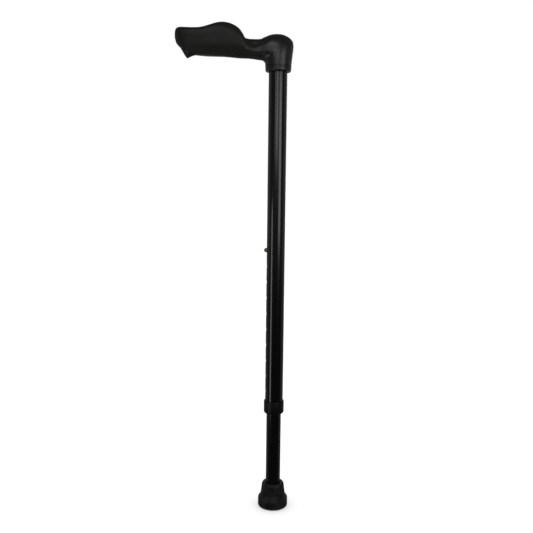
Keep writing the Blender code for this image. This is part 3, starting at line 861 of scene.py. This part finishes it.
def round_ring(middle_x, radius, height):
    """A level ring whose first point lies towards +X, where the elbow's outermost points end."""
    return [
        Vector(grip_point(middle_x + radius * math.cos(turn), radius * math.sin(turn), height))
        for turn in turns(GRIP_SEGMENTS)
    ]


def grip_rings(groove_depth):
    """All rings of the grip, from the nose over the pad, round the elbow, down the socket and up its bore."""
    pad = [pad_ring(row) for row in PAD_SECTIONS]
    rings = nose_rings(pad[0])
    body = pad + [elbow_ring(row) for row in ELBOW_SECTIONS]
    wide = OUTER_RADIUS / MM
    first = SOCKET_SECTIONS[0]
    body.append(round_ring(SOCKET_X, wide + first[1], first[0]))
    edge = [ring[0] for ring in between_rings([[Vector(place)] for place in VALLEY_EDGE], RING_STEPS)]
    rings += [[thumb_valley(point, edge) for point in ring] for ring in between_rings(body, RING_STEPS)]
    steps = round(first[0] / SOCKET_STEP)
    for step in range(1, steps + 1):
        height = max(first[0] - step * SOCKET_STEP, 0.0)
        rings.append(round_ring(SOCKET_X, wide + socket_wall(height, groove_depth), height))
    bore = wide + BORE_CLEARANCE / MM
    rings += [round_ring(0, bore + BORE_CHAMFER, 0.0), round_ring(0, bore, BORE_CHAMFER)]
    top = (TUBE_HIGH.z + CLEARANCE - SOCKET_MOUTH_Z) / MM
    rings += [round_ring(0, bore, top), [Vector(grip_point(0, 0, top))]]
    return rings


class STICK_OT_grip(bpy.types.Operator):
    """Model the moulded grip: pad, neck, elbow and socket in one skin, bored for the tube"""

    bl_idname = "stick.grip"
    bl_label = "Grip"

    def execute(self, context):
        settings = context.scene.stick_grip
        points, faces = skin(grip_rings(settings.groove_depth))
        look = shared_finish(soft_grip_finish, settings)
        grip = modelled("grip_moulding", points, faces, look, sharp=GRIP_SHARP_ANGLE)
        placed(grip, "upper", "handle")
        return {"FINISHED"}


class STICK_OT_outer_tube(bpy.types.Operator):
    """Model the outer tube with its row of height holes"""

    bl_idname = "stick.outer_tube"
    bl_label = "Outer Tube"

    def execute(self, context):
        settings = context.scene.stick_shaft
        look = shared_finish(drawn_black_finish, settings)
        bore = OUTER_RADIUS - settings.wall
        bands = [TOP_HOLE_Z - (step - 0.5) * settings.hole_pitch for step in range(settings.hole_count + 1)]
        outline = tube_outline(bore, OUTER_RADIUS, TUBE_LOW.z, TUBE_HIGH.z, bands)
        tube = modelled("outer_tube_drilled", *turned(outline), look)
        drill(tube, settings, look, settings.hole_radius, settings.hole_count)
        placed(tube, "upper", "outer_tube")
        return {"FINISHED"}


class STICK_OT_inner_tube(bpy.types.Operator):
    """Model the leg tube with the hole that its button stands in"""

    bl_idname = "stick.inner_tube"
    bl_label = "Leg Tube"

    def execute(self, context):
        settings = context.scene.stick_shaft
        look = shared_finish(drawn_black_finish, settings)
        bands = [TOP_HOLE_Z + settings.hole_pitch / 4, TOP_HOLE_Z - settings.hole_pitch / 2]
        bore = INNER_RADIUS - settings.wall
        outline = tube_outline(bore, INNER_RADIUS, LEG_LOW.z, LEG_HIGH.z, bands)
        tube = modelled("leg_tube_drilled", *turned(outline), look)
        drill(tube, settings, look, BUTTON_RADIUS + CLEARANCE / 2, 1)
        placed(tube, "leg", "inner_tube")
        return {"FINISHED"}


def tube_outline(bore, radius, low, high, bands):
    """A tube's wall with eased ends, and rings at the bands, highest first, that keep its holes apart."""
    inner, outer = bore + TUBE_EASE, radius - TUBE_EASE
    bottom = [(bore, low + TUBE_EASE), (inner, low), (outer, low), (radius, low + TUBE_EASE)]
    top = [(radius, high - TUBE_EASE), (outer, high), (inner, high), (bore, high - TUBE_EASE)]
    return bottom + [(radius, z) for z in reversed(bands)] + top + [(bore, z) for z in bands]


def drill(obj, settings, look, radius, count):
    """Drills the holes through the -X wall with the Geometry Nodes tree."""
    tree = bpy.data.node_groups.get("Cross Holes") or cross_hole_tree()
    made_by_nodes(obj, tree, {
        "Hole Radius": radius, "Hole Count": count, "Hole Pitch": settings.hole_pitch,
        "Top Hole Height": TOP_HOLE_Z, "Drill Reach": 2 * OUTER_RADIUS, "Finish": look,
    })
    shape = bmesh.new()
    shape.from_mesh(obj.data)
    bmesh.ops.remove_doubles(shape, verts=shape.verts, dist=WELD)
    bmesh.ops.dissolve_degenerate(shape, edges=shape.edges, dist=WELD)
    shape.to_mesh(obj.data)
    shape.free()
    shaded(obj)


class STICK_OT_collar(bpy.types.Operator):
    """Model the locking collar with its chamfered top, rounded bottom edge and inner cone"""

    bl_idname = "stick.collar"
    bl_label = "Locking Collar"

    def execute(self, context):
        look = shared_finish(moulded_plastic_finish, context.scene.stick_fittings)
        nut = modelled("collar_nut", *turned(collar_outline()), look)
        placed(nut, "collar", "locking_collar")
        return {"FINISHED"}


def collar_outline():
    """Outline of the collar from its lip out, up the outside, and down inside past the sleeve to its cone."""
    radius, low, high = COLLAR_HIGH.x, COLLAR_LOW.z, COLLAR_HIGH.z
    inside = radius - COLLAR_WALL
    lip = INNER_RADIUS + 2 * CLEARANCE
    opening = OUTER_RADIUS + CLEARANCE
    floor = low + COLLAR_FLOOR
    step = high - COLLAR_LIP + CLEARANCE
    edge = [(radius - COLLAR_EDGE * (1 - math.sin(turn)), low + COLLAR_EDGE * (1 - math.cos(turn)))
            for turn in quarter_turn(COLLAR_EDGE_STEPS)]
    chamfer = [(radius, high - COLLAR_CHAMFER), (radius - COLLAR_CHAMFER, high)]
    top = softened([edge[-1], *chamfer, (opening, high)], COLLAR_SOFTENING)
    hollow = [(opening, step + COLLAR_WALL / 2), (inside, step), (inside, floor + COLLAR_CONE_HEIGHT),
              (inside - COLLAR_CONE, floor)]
    return [(lip, low)] + edge + top[1:] + hollow + [(lip, floor)]


class STICK_OT_button(bpy.types.Operator):
    """Model the snap button with its domed end and the flange that keeps it in"""

    bl_idname = "stick.button"
    bl_label = "Snap Button"

    def execute(self, context):
        look = shared_finish(brass_finish, context.scene.stick_fittings)
        back, tip = BUTTON_HIGH.x, BUTTON_LOW.x
        flange = BUTTON_HIGH.y
        face = back - FLANGE_THICKNESS
        outline = [(0, back), (flange, back), (flange, face), (BUTTON_RADIUS + CLEARANCE / 3, face),
                   (BUTTON_RADIUS, face - CLEARANCE / 3)]
        outline += [(BUTTON_RADIUS * math.cos(turn), tip + BUTTON_RADIUS - BUTTON_RADIUS * math.sin(turn))
                    for turn in quarter_turn(DOME_STEPS)]
        points, faces = turned(outline, along_x=True)
        points = [(x, y, z + TOP_HOLE_Z) for x, y, z in points]
        placed(modelled("button_turned", points, faces, look), "button", "snap_button")
        return {"FINISHED"}


class STICK_OT_foot(bpy.types.Operator):
    """Model the rubber foot with its lip, neck, shoulder, bore and tread rings"""

    bl_idname = "stick.foot"
    bl_label = "Rubber Foot"

    def execute(self, context):
        settings = context.scene.stick_fittings
        look = shared_finish(rubber_finish, settings)
        points, faces = turned(foot_outline(settings.tread_depth))
        foot = modelled("foot_rubber", points, faces, look, sharp=FOOT_SHARP_ANGLE)
        placed(foot, "leg", "rubber_foot")
        return {"FINISHED"}


def foot_outline(tread_depth):
    """Outline of the foot from its middle out, up the outside, and down its bore."""
    bore = INNER_RADIUS + CLEARANCE
    sole = [(0, 0)]
    for radius in TREAD_GROOVES:
        sole += [(radius, 0), (radius + TREAD_DRAFT, tread_depth),
                 (radius + TREAD_WIDTH - TREAD_DRAFT, tread_depth), (radius + TREAD_WIDTH, 0)]
    wall = [(FOOT_HIGH.x - inside, height) for inside, height in FOOT_LIP]
    wall += [(bore + thick, FOOT_HIGH.z - depth) for thick, depth in FOOT_NECK]
    return softened(sole + wall, FOOT_SOFTENING, passes=3) + [(bore, FOOT_FLOOR), (0, FOOT_FLOOR)]


class STICK_OT_spring(bpy.types.Operator):
    """Model the spring clip behind the button"""

    bl_idname = "stick.spring"
    bl_label = "Spring Clip"

    def execute(self, context):
        look = shared_finish(zinc_steel_finish, context.scene.stick_fittings)
        clip = eased_copy("spring_clip", frame["nodes"]["button_spring"], look)
        placed(clip, "leg", "button_spring")
        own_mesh(clip)
        return {"FINISHED"}


def eased_copy(name, node, look):
    """A new piece in the form of the CAD node, with its edges eased."""
    shape = bmesh.new()
    shape.from_mesh(node.data)
    bmesh.ops.remove_doubles(shape, verts=shape.verts, dist=WELD)
    flat = math.radians(CLIP_FLAT_ANGLE)
    bmesh.ops.dissolve_limit(shape, angle_limit=flat, verts=shape.verts, edges=shape.edges)
    edges = [edge for edge in shape.edges if edge.calc_face_angle(0) > math.radians(CLIP_EDGE_ANGLE)]
    bmesh.ops.bevel(shape, geom=edges, offset=CLIP_EASE, segments=2, profile=0.5, affect="EDGES",
                    clamp_overlap=True)
    return piece_of(shape, name, look)


class STICK_OT_inside(bpy.types.Operator):
    """Finish the pieces inside the tubes that keep their shape: the plug, the split sleeve and the washer"""

    bl_idname = "stick.inside"
    bl_label = "Pieces Inside"

    def execute(self, context):
        settings = context.scene.stick_fittings
        plastic = shared_finish(moulded_plastic_finish, settings)
        steel = shared_finish(zinc_steel_finish, settings)
        for node, look in (("guide_plug", plastic), ("split_sleeve", plastic), ("foot_washer", steel)):
            for slot in frame["nodes"][node].material_slots:
                slot.material = look
        return {"FINISHED"}


class STICK_OT_stage(bpy.types.Operator):
    """Set the surroundings, the pale floor, the dark screens, the soft lamps and the camera"""

    bl_idname = "stick.stage"
    bl_label = "Stage"

    def execute(self, context):
        settings = context.scene.stick_stage
        context.scene.view_settings.view_transform = "Standard"
        surroundings(context.scene, settings.surround)
        floor(settings.floor_colour)
        for name, level, outline, start, end in SCREENS:
            dark_screen(name, getattr(settings, level), outline, start, end)
        for name, degrees, distance, low, high, width in STRIPS:
            strip_lamp(name, degrees, distance, low, high, width, getattr(settings, name))
        context.scene.camera = camera()
        return {"FINISHED"}


def seen_directly(tree):
    """1 for rays that show the background, straight, in a mirror or through glass, and 0 for light."""
    path = tree.nodes.new("ShaderNodeLightPath").outputs
    seen = path["Is Camera Ray"]
    for other in ("Is Glossy Ray", "Is Transmission Ray"):
        seen = maths(tree, "MAXIMUM", seen, path[other])
    return seen


def surroundings(scene, strength):
    """White where they are seen, and plain soft light for the rest."""
    world = bpy.data.worlds.new("surroundings")
    world.use_nodes = True
    tree = world.node_tree
    level = tree.nodes.new("ShaderNodeMapRange")
    level.inputs["To Min"].default_value = strength
    level.inputs["To Max"].default_value = 1.0
    tree.links.new(seen_directly(tree), level.inputs["Value"])
    background = tree.nodes["Background"]
    background.inputs["Color"].default_value = (1, 1, 1, 1)
    tree.links.new(level.outputs["Result"], background.inputs["Strength"])
    scene.world = world


def stage_piece(name, points, faces, look):
    """A piece of the stage, which is no part of the stick."""
    mesh = bpy.data.meshes.new(name)
    mesh.from_pydata(points, [], faces)
    mesh.materials.append(look)
    obj = linked(name, mesh)
    return obj


def floor(colour):
    """A wide pale floor just under the foot. It keeps the stick's shadow."""
    low = FOOT_LOW.z - FLOOR_GAP
    points = [(x * FLOOR_REACH, y * FLOOR_REACH, low) for x, y in ((-1, -1), (1, -1), (1, 1), (-1, 1))]
    look, shader = principled("pale_floor", Base_Color=(*colour, 1), Roughness=0.9, Specular_IOR_Level=0.0,
                              Emission_Color=(1, 1, 1, 1))
    glow = maths(look.node_tree, "MULTIPLY", seen_directly(look.node_tree), FLOOR_GLOW)
    look.node_tree.links.new(glow, shader.inputs["Emission Strength"])
    stage_piece("floor", points, [(0, 1, 2, 3)], look)


def dark_screen(name, level, outline, start, end):
    """A dark screen, turned about the shaft to both sides, that only shows in reflections."""
    points, faces = [], []
    count = len(outline)
    for side in (-1, 1):
        for step in range(SCREEN_STEPS + 1):
            turn = side * math.radians(start + (end - start) * step / SCREEN_STEPS)
            here, across, away = len(points), math.sin(turn), -math.cos(turn)
            points += [(radius * across, radius * away, height) for radius, height in outline]
            if step:
                faces += [(i - count, i, i + 1, i - count + 1) for i in range(here, here + count - 1)]
    look, _ = principled(name, Base_Color=(0, 0, 0, 1), Specular_IOR_Level=0.0, Emission_Color=(1, 1, 1, 1),
                         Emission_Strength=level)
    screen = stage_piece(name, points, faces, look)
    for rays in ("camera", "diffuse", "transmission", "volume_scatter", "shadow"):
        setattr(screen, "visible_" + rays, False)


def strip_lamp(name, degrees, distance, low, high, width, brightness):
    """An upright strip that faces the shaft and only shows in reflections."""
    lamp = bpy.data.lights.new(name, "AREA")
    lamp.shape = "RECTANGLE"
    lamp.size, lamp.size_y = width, high - low
    lamp.energy = brightness * width * (high - low) * math.pi
    turn, middle = math.radians(degrees), (low + high) / 2
    place = Vector((distance * math.sin(turn), -distance * math.cos(turn), middle))
    obj = linked(name, lamp)
    obj.location = place
    obj.rotation_euler = (Vector((0, 0, middle)) - place).to_track_quat("-Z", "Y").to_euler()
    obj.visible_camera = obj.visible_diffuse = False


def camera():
    """The camera that took the photograph: above the stick's middle, pitched down and rolled a little."""
    pitch, roll = math.radians(CAMERA_PITCH), math.radians(CAMERA_ROLL)
    right = Vector((1, 0, 0))
    forward = Vector((0, math.cos(pitch), -math.sin(pitch)))
    up = right.cross(forward)
    side = math.cos(roll) * right + math.sin(roll) * up
    top = -math.sin(roll) * right + math.cos(roll) * up
    data = bpy.data.cameras.new("camera")
    data.lens, data.sensor_width = CAMERA_LENS, FILM_WIDTH
    data.clip_start, data.clip_end = 0.01, 100.0
    obj = linked("camera", data)
    obj.matrix_world = Matrix.Translation(CAMERA_PLACE) @ Matrix((side, top, -forward)).transposed().to_4x4()
    return obj


class VIEW3D_PT_stick(bpy.types.Panel):
    """Lists what builds the walking stick, with the settings of each group"""

    bl_label = "Walking Stick"
    bl_space_type = "VIEW_3D"
    bl_region_type = "UI"
    bl_category = "Walking Stick"

    def draw(self, context):
        for name, _, operators in GROUPS:
            box = self.layout.box()
            settings = getattr(context.scene, name)
            for setting in settings.bl_rna.properties.keys():
                if setting not in ("rna_type", "name"):
                    box.prop(settings, setting)
            for operator in operators:
                box.operator(operator)


GROUPS = (
    ("stick_grip", StickGripSettings, ("stick.grip",)),
    ("stick_shaft", StickShaftSettings, ("stick.outer_tube", "stick.inner_tube")),
    ("stick_fittings", StickFittingSettings,
     ("stick.collar", "stick.button", "stick.spring", "stick.foot", "stick.inside")),
    ("stick_stage", StickStageSettings, ("stick.stage",)),
)
OPERATORS = (
    STICK_OT_grip, STICK_OT_outer_tube, STICK_OT_inner_tube, STICK_OT_collar,
    STICK_OT_button, STICK_OT_spring, STICK_OT_foot, STICK_OT_inside, STICK_OT_stage,
)


def register():
    for _, settings, _ in GROUPS:
        bpy.utils.register_class(settings)
    for operator in OPERATORS:
        bpy.utils.register_class(operator)
    bpy.utils.register_class(VIEW3D_PT_stick)
    for name, settings, _ in GROUPS:
        setattr(bpy.types.Scene, name, PointerProperty(type=settings))


def unregister():
    for name, _, _ in GROUPS:
        delattr(bpy.types.Scene, name)
    bpy.utils.unregister_class(VIEW3D_PT_stick)
    for operator in reversed(OPERATORS):
        bpy.utils.unregister_class(operator)
    for _, settings, _ in reversed(GROUPS):
        bpy.utils.unregister_class(settings)


def main():
    register()
    bpy.ops.stick.grip()
    bpy.ops.stick.outer_tube()
    bpy.ops.stick.inner_tube()
    bpy.ops.stick.collar()
    bpy.ops.stick.button()
    bpy.ops.stick.spring()
    bpy.ops.stick.foot()
    bpy.ops.stick.inside()
    bpy.ops.stick.stage()


if __name__ == "__main__":
    main()
